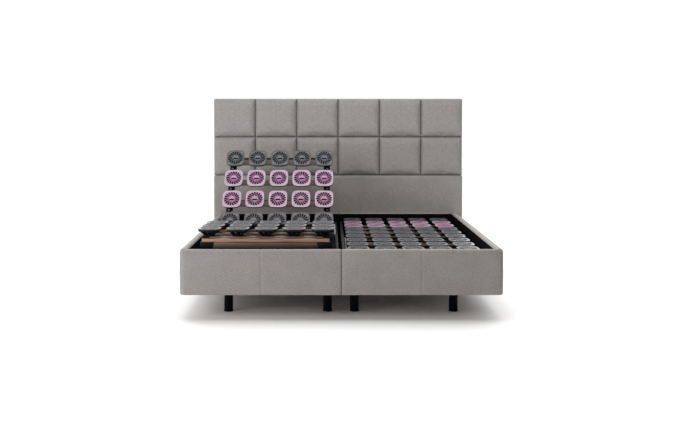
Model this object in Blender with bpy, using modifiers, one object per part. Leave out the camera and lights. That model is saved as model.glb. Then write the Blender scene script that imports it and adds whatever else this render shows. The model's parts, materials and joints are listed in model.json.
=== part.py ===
"""Twin adjustable bed base: two upholstered box bases under one padded headboard.

Each box holds an electric slatted base whose slats carry disc springs. A base has a back
section, a fixed seat, a thigh section and a calf section. The left base stands raised and the
right base lies flat. Metres, +Z up, +Y towards the headboard, origin under the middle of the
bed on the floor.
"""

from math import radians, sin

import bmesh
import bpy
from mathutils import Matrix, Vector

# ---- driving dimensions ------------------------------------------------------------------
GAP = 0.0003  # between touching pieces

BOX_WIDTH = 0.90
BOX_INNER_X = 0.001  # half of the gap between the two boxes
BOX_FRONT_Y = -1.10
BOX_BACK_Y = 1.00
BOX_BOTTOM_Z = 0.137
BOX_TOP_Z = 0.391
WALL = 0.040
WALL_ROUNDING = 0.012

BOARD_INNER_X = 0.011  # plain boards between the two boxes
BOARD_THICKNESS = 0.018
BOARD_TOP_Z = 0.326

BOTTOM_FRAME_HEIGHT = 0.022
BOTTOM_RAIL = 0.050
BEAM_WIDTH = 0.110
LEG_Y = (-0.85, 0.80)  # also the outer cross beams of the bottom frame
LEG_X = (0.078, 0.651)
LEG_RADIUS = 0.025
GLIDE_RADIUS = 0.027
GLIDE_HEIGHT = 0.009
LEG_SIDES = 14

HEADBOARD_WIDTH = 1.90
HEADBOARD_TOP_Z = 1.258
HEADBOARD_SEAM_Z = 0.671
PAD_THICKNESS = 0.058
HEADBOARD_BACK_Y = 1.095
PAD_ROUNDING = 0.018
BOARD_INSET = 0.004
BOARD_ROUNDING = 0.004
BRACKET_X = 0.45
BRACKET_WIDTH = 0.060
BRACKET_STEEL = 0.0045
BRACKET_REACH_Y = 0.93
BRACKET_TOP_Z = 0.300

BASE_X = 0.426  # middle of each slatted base
DISC_TOP_Z = 0.354
DISC_PITCH = 0.161
DISC_WIDTH = 0.126
DISC_LENGTH = 0.150
DISC_THICKNESS = 0.012
DISC_CORNER = 0.030
SUPPORT_TOP = (0.104, 0.100)
SUPPORT_FOOT = (0.046, 0.042)
SLAT_TOP = 0.047  # below the disc tops
SLAT_THICKNESS = 0.010
SLAT_WIDTH = 0.050
SLAT_LENGTH = 0.710
ROW_Y = [0.84 - 0.20 * row for row in range(10)]  # from the head end
PINK_ROWS = (1, 2)
SECTION_ROWS = {"back": (0, 1, 2, 3), "seat": (4,), "thigh": (5, 6), "calf": (7, 8, 9)}

HINGE_Z = 0.324
BACK_HINGE_Y = 0.14
THIGH_HINGE_Y = -0.06
KNEE_HINGE_Y = -0.46
HINGE_TUBE_RADIUS = 0.011
HINGE_PIN_RADIUS = 0.0060
HINGE_HOLE_RADIUS = 0.0065

RAIL_X = (0.327, 0.363)  # section rails, from the middle of the base
RAIL_Z = (0.250, 0.280)
RAIL_START = 0.035  # from the hinge axis
HOLDER_X = {
    "back": (0.318, 0.362),
    "seat": (0.285, 0.362),
    "thigh": (0.285, 0.362),
    "calf": (0.285, 0.362),
}
HOLDER_LENGTH = 0.060
HOLDER_LIFT = 0.008  # its underside over the rail's
SIDE_RAIL_X = (0.372, 0.394)
SIDE_RAIL_Z = (0.215, 0.245)
EAR_THICKNESS = 0.006
FRAME_END_Y = (-1.030, 0.930)
SECTION_END_Y = {"back": 0.915, "thigh": -0.425, "calf": -1.030}
POST_Y = (-0.990, 0.890)
POST_WIDTH = 0.030
OVERLAP = 0.005  # how far a bar runs into the rails that carry it
BAR_WIDTH = 0.030
BAR_Z = (0.252, 0.279)
BACK_BAR_Y = 0.465  # under the slat of the third row
THIGH_BAR_Y = -0.275
SEAT_BAR_Y = (-0.010, 0.050)
CALF_END_Z = (0.251, 0.279)
CALF_BAR_Z = (0.2795, 0.300)  # over the rails' ends
CALF_BAR_REACH = 0.360

# hinge plates: distance from the hinge axis along the base, height over the axis
SECTION_PLATE = [
    (-0.010, -0.006), (-0.010, 0.008), (0.020, 0.011), (0.068, -0.032),
    (0.110, -0.050), (0.110, -0.073), (0.036, -0.073), (0.006, -0.010),
]
SECTION_PLATE_THICKNESS = 0.0175
KNEE_PLATE = [
    (0.060, -0.070), (0.060, -0.046), (0.010, 0.014), (-0.008, 0.014),
    (-0.014, 0.004), (-0.014, -0.008), (0.030, -0.070),
]
KNEE_RELIEF_Y = (-0.475, -0.420)  # room in the thigh frame for the knee's axle tube
KNEE_RELIEF_Z = (0.280, 0.340)
EAR_HALF_WIDTH = 0.030
EAR_TOP = 0.014  # over the hinge axis
EAR_TOP_HALF_WIDTH = 0.008

LEVER_RADIUS = 0.100
LEVER_THICKNESS = 0.012
LEVER_WIDTH = 0.020
ROLLER_RADIUS = 0.012
ROLLER_WIDTH = 0.030
BACK_LEVER_START = -35.0  # degrees from straight down, positive towards the headboard
THIGH_LEVER_START = 10.0
PUSH_GAP = 0.003  # between a roller and its slider

HOUSING_X = 0.060
HOUSING_Y = (-0.300, 0.380)
HOUSING_TOP_Z = 0.235
HOUSING_WALL = 0.006
SLIDER_X = 0.050
SLIDER_LENGTH = 0.035
SLIDER_TOP_Z = 0.232
MOTOR_X = (0.0603, 0.130)
MOTOR_Y = (-0.060, 0.110)
MOTOR_HEIGHT = 0.062
INLET_SIZE = (0.028, 0.012, 0.018)

KNEE_RATIO = -0.93  # the knee bends back as the thigh rises
BACK_SLIDER_RATIO = 0.0939  # metres for each radian of the back section
LEG_SLIDER_RATIO = 0.0977
LEFT_POSE = {"back": 43.0, "thigh": 18.7}
RIGHT_POSE = {"back": 0.0, "thigh": 0.0}

ROUND_SIDES = 12

COLOURS = {  # colour, roughness, metallic
    "fabric": ((0.36, 0.335, 0.31), 0.95, 0.0),
    "board": ((0.035, 0.032, 0.032), 0.8, 0.0),
    "plywood": ((0.42, 0.30, 0.20), 0.6, 0.0),
    "steel": ((0.03, 0.03, 0.032), 0.45, 0.6),
    "grey_disc": ((0.17, 0.17, 0.19), 0.45, 0.0),
    "pink_disc": ((0.55, 0.33, 0.46), 0.45, 0.0),
    "leg": ((0.012, 0.012, 0.012), 0.4, 0.0),
    "housing": ((0.05, 0.05, 0.055), 0.5, 0.0),
}


# ---- scene -------------------------------------------------------------------------------
def clear_scene():
    for obj in list(bpy.data.objects):
        bpy.data.objects.remove(obj)


def new_collection(name):
    collection = bpy.data.collections.new(name)
    bpy.context.scene.collection.children.link(collection)
    return collection


def make_material(name):
    colour, roughness, metallic = COLOURS[name]
    material = bpy.data.materials.new(name)
    material.use_nodes = True
    shader = material.node_tree.nodes["Principled BSDF"]
    shader.inputs["Base Color"].default_value = (*colour, 1.0)
    shader.inputs["Roughness"].default_value = roughness
    shader.inputs["Metallic"].default_value = metallic
    return material


def move_to(obj, collection):
    for other in list(obj.users_collection):
        other.objects.unlink(obj)
    collection.objects.link(obj)


def place(name, mesh, parent, location=(0, 0, 0), material=None):
    """A named part that may share its mesh with another part."""
    obj = bpy.data.objects.new(name, mesh)
    PARTS.objects.link(obj)
    obj.parent = parent
    obj.location = location
    if material and not mesh.materials:
        mesh.materials.append(MATERIALS[material])
    return obj


# ---- building pieces ---------------------------------------------------------------------
def block(low, high):
    """A box piece between two corners, as a temporary object."""
    low, high = Vector(low), Vector(high)
    bpy.ops.mesh.primitive_cube_add(size=1)
    obj = bpy.context.object
    size = high - low
    obj.data.transform(Matrix.Diagonal((size.x, size.y, size.z, 1)))
    obj.data.transform(Matrix.Translation((low + high) / 2))
    move_to(obj, CUTTERS)
    return obj


def rod(radius, x_from, x_to, y, z):
    """A round rod along X."""
    length = abs(x_to - x_from)
    bpy.ops.mesh.primitive_cylinder_add(vertices=ROUND_SIDES, radius=radius, depth=length)
    obj = bpy.context.object
    turn = Matrix.Rotation(radians(90), 4, "Y")
    obj.data.transform(Matrix.Translation(((x_from + x_to) / 2, y, z)) @ turn)
    move_to(obj, CUTTERS)
    return obj


def outline(points, depth, holes=()):
    """A flat outline in XY, centred on Z, as a temporary mesh object."""
    curve = bpy.data.curves.new("outline", "CURVE")
    curve.dimensions = "2D"
    curve.fill_mode = "BOTH"
    curve.extrude = depth / 2
    for loop in (points, *holes):
        spline = curve.splines.new("POLY")
        spline.points.add(len(loop) - 1)
        for point, (x, y) in zip(spline.points, loop):
            point.co = (x, y, 0, 1)
        spline.use_cyclic_u = True
    drawn = bpy.data.objects.new("outline", curve)
    CUTTERS.objects.link(drawn)
    mesh = evaluated_mesh(drawn)
    bpy.data.objects.remove(drawn)
    weld(mesh)
    obj = bpy.data.objects.new("outline", mesh)
    CUTTERS.objects.link(obj)
    return obj


def plate_in_yz(points, x_from, x_to):
    """A plate across X, from an outline given as (y, z)."""
    obj = outline(points, abs(x_to - x_from))
    stand = Matrix(((0, 0, 1, 0), (1, 0, 0, 0), (0, 1, 0, 0), (0, 0, 0, 1)))
    obj.data.transform(Matrix.Translation(((x_from + x_to) / 2, 0, 0)) @ stand)
    return obj


def weld(mesh, flatten=False):
    """Closes the caps, and with `flatten` also merges the faces that lie in one plane."""
    shape = bmesh.new()
    shape.from_mesh(mesh)
    bmesh.ops.remove_doubles(shape, verts=shape.verts, dist=0.00001)
    if flatten:
        bmesh.ops.dissolve_limit(
            shape, angle_limit=radians(0.5), verts=shape.verts, edges=shape.edges
        )
    bmesh.ops.recalc_face_normals(shape, faces=shape.faces)
    shape.to_mesh(mesh)
    shape.free()


def evaluated_mesh(obj):
    bpy.context.view_layer.update()
    graph = bpy.context.evaluated_depsgraph_get()
    return bpy.data.meshes.new_from_object(obj.evaluated_get(graph))


def combine(pieces, cuts=()):
    """One closed mesh: the union of the pieces, less the cuts."""
    body = pieces[0]
    steps = [("UNION", piece) for piece in pieces[1:]]
    steps += [("DIFFERENCE", cut) for cut in cuts]
    for operation, other in steps:
        boolean = body.modifiers.new("join", "BOOLEAN")
        boolean.operation = operation
        boolean.solver = "EXACT"
        boolean.object = other
    mesh = evaluated_mesh(body)
    weld(mesh, flatten=True)
    for piece in (*pieces, *cuts):
        bpy.data.objects.remove(piece)
    return mesh


def mirrored_pair(maker, inner, outer):
    """The same piece on both sides of the base."""
    return [maker(-outer, -inner), maker(inner, outer)]


# ---- the boxes ---------------------------------------------------------------------------
def rounded_box(name, low, high, rounding, material):
    obj = block(low, high)
    mesh = obj.data
    bpy.data.objects.remove(obj)
    part = place(name, mesh, None, material=material)
    bevel = part.modifiers.new("rounded_edges", "BEVEL")
    bevel.width = rounding
    bevel.segments = 1
    return part


def across(side, inner, outer):
    """Low and high X of something that lies between two distances from the middle."""
    return (inner, outer) if side > 0 else (-outer, -inner)


def make_box(prefix, side):
    """The upholstered walls, the plain inner board and the bottom frame of one box."""
    wall_z = (BOX_BOTTOM_Z, BOX_TOP_Z)
    full = across(side, BOX_INNER_X, BOX_WIDTH)
    inner_y = (BOX_FRONT_Y + WALL + GAP, BOX_BACK_Y - WALL - GAP)
    walls = {
        "front_panel": (full, (BOX_FRONT_Y, BOX_FRONT_Y + WALL)),
        "back_panel": (full, (BOX_BACK_Y - WALL, BOX_BACK_Y)),
        "side_panel": (across(side, BOX_WIDTH - WALL, BOX_WIDTH), inner_y),
    }
    for name, (x, y) in walls.items():
        low, high = (x[0], y[0], wall_z[0]), (x[1], y[1], wall_z[1])
        rounded_box(f"{prefix}_{name}", low, high, WALL_ROUNDING, "fabric")

    board_x = across(side, BOARD_INNER_X, BOARD_INNER_X + BOARD_THICKNESS)
    board = block((board_x[0], inner_y[0], BOX_BOTTOM_Z), (board_x[1], inner_y[1], BOARD_TOP_Z))
    place(f"{prefix}_inner_board", board.data, None, material="board")
    bpy.data.objects.remove(board)

    frame_x = across(side, BOARD_INNER_X + BOARD_THICKNESS + GAP, BOX_WIDTH - WALL - GAP)
    place(f"{prefix}_bottom_frame", bottom_frame_mesh(frame_x, inner_y), None, material="plywood")


def bottom_frame_mesh(x, y):
    """A flat ladder: two long rails, two beams over the legs and a wide middle beam."""
    outer = [(x[0], y[0]), (x[1], y[0]), (x[1], y[1]), (x[0], y[1])]
    hole_x = (x[0] + BOTTOM_RAIL, x[1] - BOTTOM_RAIL)
    middle = (-BEAM_WIDTH, BEAM_WIDTH)
    bays = [
        (LEG_Y[0] + BEAM_WIDTH / 2, middle[0]),
        (middle[1], LEG_Y[1] - BEAM_WIDTH / 2),
    ]
    holes = [[(hole_x[0], a), (hole_x[0], b), (hole_x[1], b), (hole_x[1], a)] for a, b in bays]
    obj = outline(outer, BOTTOM_FRAME_HEIGHT, holes)
    obj.data.transform(Matrix.Translation((0, 0, BOX_BOTTOM_Z + BOTTOM_FRAME_HEIGHT / 2)))
    mesh = obj.data
    bpy.data.objects.remove(obj)
    return mesh


def leg_mesh():
    """A turned leg with a slightly wider glide, standing on its own origin."""
    top = BOX_BOTTOM_Z - GAP
    profile = [
        (0, top),
        (LEG_RADIUS, top),
        (LEG_RADIUS, GLIDE_HEIGHT),
        (GLIDE_RADIUS, GLIDE_HEIGHT),
        (GLIDE_RADIUS, 0),
        (0, 0),
    ]
    mesh = bpy.data.meshes.new("leg")
    shape = bmesh.new()
    points = [shape.verts.new((x, 0, z)) for x, z in profile]
    for a, b in zip(points, points[1:]):
        shape.edges.new((a, b))
    shape.to_mesh(mesh)
    shape.free()
    turned = bpy.data.objects.new("leg", mesh)
    CUTTERS.objects.link(turned)
    screw = turned.modifiers.new("turn", "SCREW")
    screw.axis = "Z"
    screw.steps = LEG_SIDES
    screw.render_steps = LEG_SIDES
    screw.use_merge_vertices = True
    screw.merge_threshold = 0.0001
    result = evaluated_mesh(turned)
    bpy.data.objects.remove(turned)
    weld(result)
    result.shade_smooth()
    result.set_sharp_from_angle(angle=radians(35))
    return result


def make_legs():
    mesh = leg_mesh()
    for prefix, side in (("left", -1), ("right", 1)):
        for end, y in zip(("front", "back"), LEG_Y):
            for place_name, x in zip(("inner", "outer"), LEG_X):
                place(f"{prefix}_{end}_{place_name}_leg", mesh, None, (side * x, y, 0), "leg")


# ---- the headboard -----------------------------------------------------------------------
def make_headboard():
    half = HEADBOARD_WIDTH / 2
    pad_front = BOX_BACK_Y + GAP
    pad_back = pad_front + PAD_THICKNESS
    board_front = pad_back + GAP
    low, high = (-half, pad_front, HEADBOARD_SEAM_Z), (half, pad_back, HEADBOARD_TOP_Z)
    rounded_box("headboard_squares_pad", low, high, PAD_ROUNDING, "fabric")
    low, high = (-half, pad_front, BOX_BOTTOM_Z), (half, pad_back, HEADBOARD_SEAM_Z - GAP)
    rounded_box("headboard_lower_pad", low, high, PAD_ROUNDING, "fabric")
    inset = BOARD_INSET
    low = (-half + inset, board_front, BOX_BOTTOM_Z)
    high = (half - inset, HEADBOARD_BACK_Y, HEADBOARD_TOP_Z - inset)
    rounded_box("headboard_board", low, high, BOARD_ROUNDING, "fabric")
    make_brackets()


def make_brackets():
    """Two L-shaped steel brackets under the boxes and up the back of the headboard."""
    under_top = BOX_BOTTOM_Z - GAP
    under_low = under_top - BRACKET_STEEL
    upright_front = HEADBOARD_BACK_Y + GAP
    upright_back = upright_front + BRACKET_STEEL + 0.0002
    profile = [
        (BRACKET_REACH_Y, under_low),
        (upright_back, under_low),
        (upright_back, BRACKET_TOP_Z),
        (upright_front, BRACKET_TOP_Z),
        (upright_front, under_top),
        (BRACKET_REACH_Y, under_top),
    ]
    piece = plate_in_yz(profile, -BRACKET_WIDTH / 2, BRACKET_WIDTH / 2)
    for prefix, side in (("left", -1), ("right", 1)):
        place(f"{prefix}_headboard_bracket", piece.data, None, (side * BRACKET_X, 0, 0), "steel")
    bpy.data.objects.remove(piece)


# ---- a row of disc springs ---------------------------------------------------------------
def disc_plate(x):
    """A plate with cut corners, its top at height 0."""
    a, b, c = DISC_WIDTH / 2, DISC_LENGTH / 2, DISC_CORNER
    points = [
        (a, b - c), (a - c, b), (c - a, b), (-a, b - c),
        (-a, c - b), (c - a, -b), (a - c, -b), (a, c - b),
    ]
    obj = outline(points[::-1], DISC_THICKNESS)
    obj.data.transform(Matrix.Translation((x, 0, -DISC_THICKNESS / 2)))
    return obj


def disc_support(x):
    """The inverted pyramid that carries a disc on the slat."""
    sink = 0.001
    obj = block((-0.5, -0.5, -SLAT_TOP - sink), (0.5, 0.5, sink - DISC_THICKNESS))
    for vertex in obj.data.vertices:
        size = SUPPORT_TOP if vertex.co.z > -SLAT_TOP / 2 else SUPPORT_FOOT
        vertex.co.x = x + vertex.co.x * size[0]
        vertex.co.y = vertex.co.y * size[1]
    return obj


def slat():
    half = Vector((SLAT_LENGTH, SLAT_WIDTH, SLAT_THICKNESS)) / 2
    middle = Vector((0, 0, -SLAT_TOP - SLAT_THICKNESS / 2))
    return block(middle - half, middle + half)


def row_mesh():
    places = [DISC_PITCH * (column - 2) for column in range(5)]
    pieces = [slat()]
    for x in places:
        pieces += [disc_support(x), disc_plate(x)]
    return combine(pieces)


# ---- section frames ----------------------------------------------------------------------
def rails(section):
    """Two rails with a slat holder under every slat end."""
    start, end = section_span(section)
    low_y, high_y = min(start, end), max(start, end)

    def rail(x0, x1):
        return block((x0, low_y, RAIL_Z[0]), (x1, high_y, RAIL_Z[1]))

    pieces = mirrored_pair(rail, *RAIL_X)
    holder_top = DISC_TOP_Z - SLAT_TOP - SLAT_THICKNESS - GAP
    for row in SECTION_ROWS[section]:

        def holder(x0, x1, y=ROW_Y[row]):
            low = (x0, y - HOLDER_LENGTH / 2, RAIL_Z[0] + HOLDER_LIFT)
            return block(low, (x1, y + HOLDER_LENGTH / 2, holder_top))

        pieces += mirrored_pair(holder, *HOLDER_X[section])
    return pieces


def section_span(section):
    """Where a section's rails start, near its hinge, and where they end."""
    spans = {
        "back": (BACK_HINGE_Y + RAIL_START, SECTION_END_Y["back"]),
        "seat": (THIGH_HINGE_Y + 0.015, BACK_HINGE_Y - 0.015),
        "thigh": (THIGH_HINGE_Y - RAIL_START, SECTION_END_Y["thigh"]),
        "calf": (KNEE_HINGE_Y - RAIL_START, SECTION_END_Y["calf"]),
    }
    return spans[section]


def hinge_side(hinge_y, direction):
    """The axle tube with its pins, and the plates that join it to the section's rails."""
    tube_end = RAIL_X[1] - 0.0005
    carrier = RAIL_X[1] if hinge_y == KNEE_HINGE_Y else SIDE_RAIL_X[0]
    pin_end = carrier + EAR_THICKNESS
    points = [(hinge_y + direction * s, HINGE_Z + z) for s, z in SECTION_PLATE]
    if direction < 0:
        points.reverse()

    def plate(x0, x1):
        return plate_in_yz(points, x0, x1)

    tube = rod(HINGE_TUBE_RADIUS, -tube_end, tube_end, hinge_y, HINGE_Z)
    pin = rod(HINGE_PIN_RADIUS, -pin_end, pin_end, hinge_y, HINGE_Z)
    return [tube, pin, *mirrored_pair(plate, tube_end - SECTION_PLATE_THICKNESS, tube_end)]


def lever(hinge_y, start):
    """The drive lever that hangs from the axle tube, with its roller."""
    half = LEVER_WIDTH / 2
    arm = block((-LEVER_THICKNESS / 2, -half, -LEVER_RADIUS), (LEVER_THICKNESS / 2, half, 0))
    roller = rod(ROLLER_RADIUS, -ROLLER_WIDTH / 2, ROLLER_WIDTH / 2, 0, -LEVER_RADIUS)
    swing = Matrix.Translation((0, hinge_y, HINGE_Z)) @ Matrix.Rotation(radians(start), 4, "X")
    for piece in (arm, roller):
        piece.data.transform(swing)
    return [arm, roller]


def cross_bar(y_from, z, reach, width=BAR_WIDTH):
    return block((-reach, y_from, z[0]), (reach, y_from + width, z[1]))


def back_frame_mesh():
    pieces = rails("back") + hinge_side(BACK_HINGE_Y, 1) + lever(BACK_HINGE_Y, BACK_LEVER_START)
    reach = RAIL_X[0] + OVERLAP
    end = SECTION_END_Y["back"] - 0.001
    pieces.append(cross_bar(end - BAR_WIDTH, BAR_Z, reach))
    pieces.append(cross_bar(BACK_BAR_Y, BAR_Z, reach))
    return combine(pieces)


def ear(hinge_y, bottom, x0, x1):
    """A hinge plate whose top is cut back round its hole."""
    foot, cheek, crown = EAR_HALF_WIDTH, EAR_TOP, EAR_TOP_HALF_WIDTH
    top = HINGE_Z + EAR_TOP
    points = [
        (hinge_y - foot, bottom), (hinge_y + foot, bottom), (hinge_y + cheek, HINGE_Z),
        (hinge_y + crown, top), (hinge_y - crown, top), (hinge_y - cheek, HINGE_Z),
    ]
    return plate_in_yz(points, x0, x1)


def thigh_frame_mesh():
    """The thigh frame also carries the plates that hold the knee axle."""
    pieces = rails("thigh") + hinge_side(THIGH_HINGE_Y, -1)
    pieces += lever(THIGH_HINGE_Y, THIGH_LEVER_START)
    pieces.append(cross_bar(THIGH_BAR_Y, BAR_Z, RAIL_X[0] + OVERLAP))
    points = [(KNEE_HINGE_Y + s, HINGE_Z + z) for s, z in KNEE_PLATE]

    def knee_plate(x0, x1):
        return plate_in_yz(points, x0, x1)

    outside = RAIL_X[1] + EAR_THICKNESS
    pieces += mirrored_pair(knee_plate, RAIL_X[1] - 0.001, outside)
    reach = outside + 0.002
    hole = rod(HINGE_HOLE_RADIUS, -reach, reach, KNEE_HINGE_Y, HINGE_Z)
    low = (-RAIL_X[1], KNEE_RELIEF_Y[0], KNEE_RELIEF_Z[0])
    relief = block(low, (RAIL_X[1], KNEE_RELIEF_Y[1], KNEE_RELIEF_Z[1]))
    return combine(pieces, [hole, relief])


def calf_frame_mesh():
    """The calf frame ends in a steel bar, with a wooden bar over the rails' ends."""
    pieces = rails("calf") + hinge_side(KNEE_HINGE_Y, -1)
    end = SECTION_END_Y["calf"] + 0.001
    pieces.append(cross_bar(end, CALF_END_Z, RAIL_X[0] + OVERLAP, BAR_WIDTH - 0.001))
    pieces.append(cross_bar(end, CALF_BAR_Z, CALF_BAR_REACH, BAR_WIDTH - 0.002))
    return combine(pieces)


def base_frame_mesh():
    """The fixed frame: side rails on posts, end bars, the seat rails and four hinge plates."""
    low, high = SIDE_RAIL_Z
    start, end = FRAME_END_Y
    foot = low + 0.010  # posts and hinge plates run into the side rails

    def side_rail(x0, x1):
        return block((x0, start, low), (x1, end, high))

    pieces = mirrored_pair(side_rail, *SIDE_RAIL_X)
    reach = SIDE_RAIL_X[0] + OVERLAP
    width = BAR_WIDTH - 0.001
    end_z = (low + 0.001, high - 0.001)
    pieces.append(cross_bar(start + 0.001, end_z, reach, width))
    pieces.append(cross_bar(end - BAR_WIDTH, end_z, reach, width))
    seat_z = (high - 0.004, RAIL_Z[0] + 0.012)
    pieces.append(cross_bar(SEAT_BAR_Y[0], seat_z, reach, SEAT_BAR_Y[1] - SEAT_BAR_Y[0]))
    pieces += rails("seat")
    post_foot = BOX_BOTTOM_Z + BOTTOM_FRAME_HEIGHT + GAP
    half = POST_WIDTH / 2
    for y in POST_Y:

        def post(x0, x1, at=y):
            return block((x0 + 0.001, at - half, post_foot), (x1 - 0.001, at + half, foot))

        pieces += mirrored_pair(post, *SIDE_RAIL_X)
    ear_x = (SIDE_RAIL_X[0] + 0.0007, SIDE_RAIL_X[0] + EAR_THICKNESS)
    reach = SIDE_RAIL_X[1] + 0.005
    holes = []
    for hinge_y in (BACK_HINGE_Y, THIGH_HINGE_Y):

        def hinge_plate(x0, x1, at=hinge_y):
            return ear(at, foot, x0, x1)

        pieces += mirrored_pair(hinge_plate, *ear_x)
        holes.append(rod(HINGE_HOLE_RADIUS, -reach, reach, hinge_y, HINGE_Z))
    return combine(pieces, holes)


# ---- the drive ---------------------------------------------------------------------------
def housing_mesh():
    """An open trough in which both drive levers swing and both sliders run."""
    floor = BOX_BOTTOM_Z + BOTTOM_FRAME_HEIGHT + GAP
    body = block((-HOUSING_X, HOUSING_Y[0], floor), (HOUSING_X, HOUSING_Y[1], HOUSING_TOP_Z))
    inner = HOUSING_X - HOUSING_WALL
    low = (-inner, HOUSING_Y[0] + HOUSING_WALL, floor + HOUSING_WALL)
    cavity = block(low, (inner, HOUSING_Y[1] - HOUSING_WALL, HOUSING_TOP_Z + 0.010))
    return combine([body], [cavity])


def roller_place(hinge_y, start):
    return hinge_y + LEVER_RADIUS * sin(radians(start))


def slider_mesh(hinge_y, start, push):
    """A sliding block behind the roller that it pushes towards `push`, with the base flat."""
    face = roller_place(hinge_y, start) - push * (ROLLER_RADIUS + PUSH_GAP)
    back = face - push * SLIDER_LENGTH
    bottom = BOX_BOTTOM_Z + BOTTOM_FRAME_HEIGHT + GAP + HOUSING_WALL + GAP
    obj = block((-SLIDER_X, min(face, back), bottom), (SLIDER_X, max(face, back), SLIDER_TOP_Z))
    mesh = obj.data
    bpy.data.objects.remove(obj)
    return mesh


def motor_mesh():
    """The motor and control case, with the hollow of a mains inlet in its foot end."""
    floor = BOX_BOTTOM_Z + BOTTOM_FRAME_HEIGHT + GAP
    body = block((MOTOR_X[0], MOTOR_Y[0], floor), (MOTOR_X[1], MOTOR_Y[1], floor + MOTOR_HEIGHT))
    bevel = body.modifiers.new("rounded_edges", "BEVEL")
    bevel.width = 0.006
    bevel.segments = 1
    middle = Vector(((MOTOR_X[0] + MOTOR_X[1]) / 2, MOTOR_Y[0], floor + MOTOR_HEIGHT / 2))
    half = Vector(INLET_SIZE) / 2
    inlet = block(middle - half, middle + half)
    return combine([body], [inlet])


# ---- one slatted base --------------------------------------------------------------------
def pivot(name, location, parent=None, tilt=0.0):
    empty = bpy.data.objects.new(name, None)
    PARTS.objects.link(empty)
    empty.parent = parent
    empty.location = location
    empty.rotation_euler = (radians(tilt), 0, 0)
    return empty


def shared_meshes():
    """Every mesh that both bases use, made round the middle of a flat base."""
    row = row_mesh()
    pink_row = row.copy()
    return {
        "grey_row": row,
        "pink_row": pink_row,
        "base_frame": base_frame_mesh(),
        "back_frame": back_frame_mesh(),
        "thigh_frame": thigh_frame_mesh(),
        "calf_frame": calf_frame_mesh(),
        "drive_housing": housing_mesh(),
        "motor_unit": motor_mesh(),
        "back_slider": slider_mesh(BACK_HINGE_Y, BACK_LEVER_START, 1),
        "leg_slider": slider_mesh(THIGH_HINGE_Y, THIGH_LEVER_START, -1),
    }


def make_base(prefix, side, pose, meshes):
    """One base: its sections hang from empties on their hinge axes, turned to the pose."""
    centre = pivot(f"{prefix}_base", (side * BASE_X, 0, 0))
    back_at = Vector((0, BACK_HINGE_Y, HINGE_Z))
    thigh_at = Vector((0, THIGH_HINGE_Y, HINGE_Z))
    knee_at = Vector((0, KNEE_HINGE_Y, HINGE_Z))
    thigh_tilt = -pose["thigh"]
    back = pivot(f"{prefix}_back_hinge", back_at, centre, pose["back"])
    thigh = pivot(f"{prefix}_thigh_hinge", thigh_at, centre, thigh_tilt)
    knee = pivot(f"{prefix}_knee_hinge", knee_at - thigh_at, thigh, KNEE_RATIO * thigh_tilt)
    sections = {"back": (back, back_at), "seat": (centre, Vector()), "thigh": (thigh, thigh_at)}
    sections["calf"] = (knee, knee_at)

    for section, (parent, origin) in sections.items():
        for row in SECTION_ROWS[section]:
            colour = "pink" if row in PINK_ROWS else "grey"
            at = Vector((0, ROW_Y[row], DISC_TOP_Z)) - origin
            name = f"{prefix}_spring_row_{row + 1:02d}"
            place(name, meshes[f"{colour}_row"], parent, at, f"{colour}_disc")

    for section in ("back", "thigh", "calf"):
        parent, origin = sections[section]
        place(f"{prefix}_{section}_frame", meshes[f"{section}_frame"], parent, -origin, "steel")
    place(f"{prefix}_base_frame", meshes["base_frame"], centre, material="steel")
    place(f"{prefix}_drive_housing", meshes["drive_housing"], centre, material="housing")
    place(f"{prefix}_motor_unit", meshes["motor_unit"], centre, material="housing")
    back_travel = BACK_SLIDER_RATIO * radians(pose["back"])
    leg_travel = LEG_SLIDER_RATIO * radians(pose["thigh"])
    place(f"{prefix}_back_slider", meshes["back_slider"], centre, (0, back_travel, 0), "housing")
    place(f"{prefix}_leg_slider", meshes["leg_slider"], centre, (0, -leg_travel, 0), "housing")


clear_scene()
PARTS = new_collection("adjustable_bed_base")
CUTTERS = new_collection("cutters")
MATERIALS = {name: make_material(name) for name in COLOURS}

for box_prefix, box_side in (("left", -1), ("right", 1)):
    make_box(box_prefix, box_side)
make_legs()
make_headboard()
SHARED = shared_meshes()
make_base("left", -1, LEFT_POSE, SHARED)
make_base("right", 1, RIGHT_POSE, SHARED)
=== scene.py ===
"""Looks for the twin adjustable bed base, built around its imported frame.

Two upholstered boxes and a padded headboard, with a slatted base in each box. Every slat
carries five moulded disc springs. Metres, +Z up, +Y towards the headboard.
"""

import json
from itertools import product
from math import cos, exp, pi, radians, sin

import bmesh
import bpy
from mathutils import Matrix, Vector, noise


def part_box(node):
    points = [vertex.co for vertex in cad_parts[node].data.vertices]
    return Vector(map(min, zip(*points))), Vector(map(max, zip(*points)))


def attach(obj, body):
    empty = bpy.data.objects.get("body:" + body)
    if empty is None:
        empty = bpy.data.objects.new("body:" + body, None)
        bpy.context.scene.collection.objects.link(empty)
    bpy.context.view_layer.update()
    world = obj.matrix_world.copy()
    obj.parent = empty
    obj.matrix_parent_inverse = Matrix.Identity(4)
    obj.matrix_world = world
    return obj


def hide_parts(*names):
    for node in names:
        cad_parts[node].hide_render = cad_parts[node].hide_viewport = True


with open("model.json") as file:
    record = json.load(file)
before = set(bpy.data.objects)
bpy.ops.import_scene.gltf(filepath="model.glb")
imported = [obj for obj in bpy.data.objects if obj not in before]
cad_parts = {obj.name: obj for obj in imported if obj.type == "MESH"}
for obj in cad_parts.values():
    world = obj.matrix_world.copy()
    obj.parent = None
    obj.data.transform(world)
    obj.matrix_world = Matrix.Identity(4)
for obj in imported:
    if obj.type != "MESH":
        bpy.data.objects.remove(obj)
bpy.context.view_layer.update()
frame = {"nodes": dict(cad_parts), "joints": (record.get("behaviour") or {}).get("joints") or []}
SIDES = {"left": -1, "right": 1}

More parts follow.
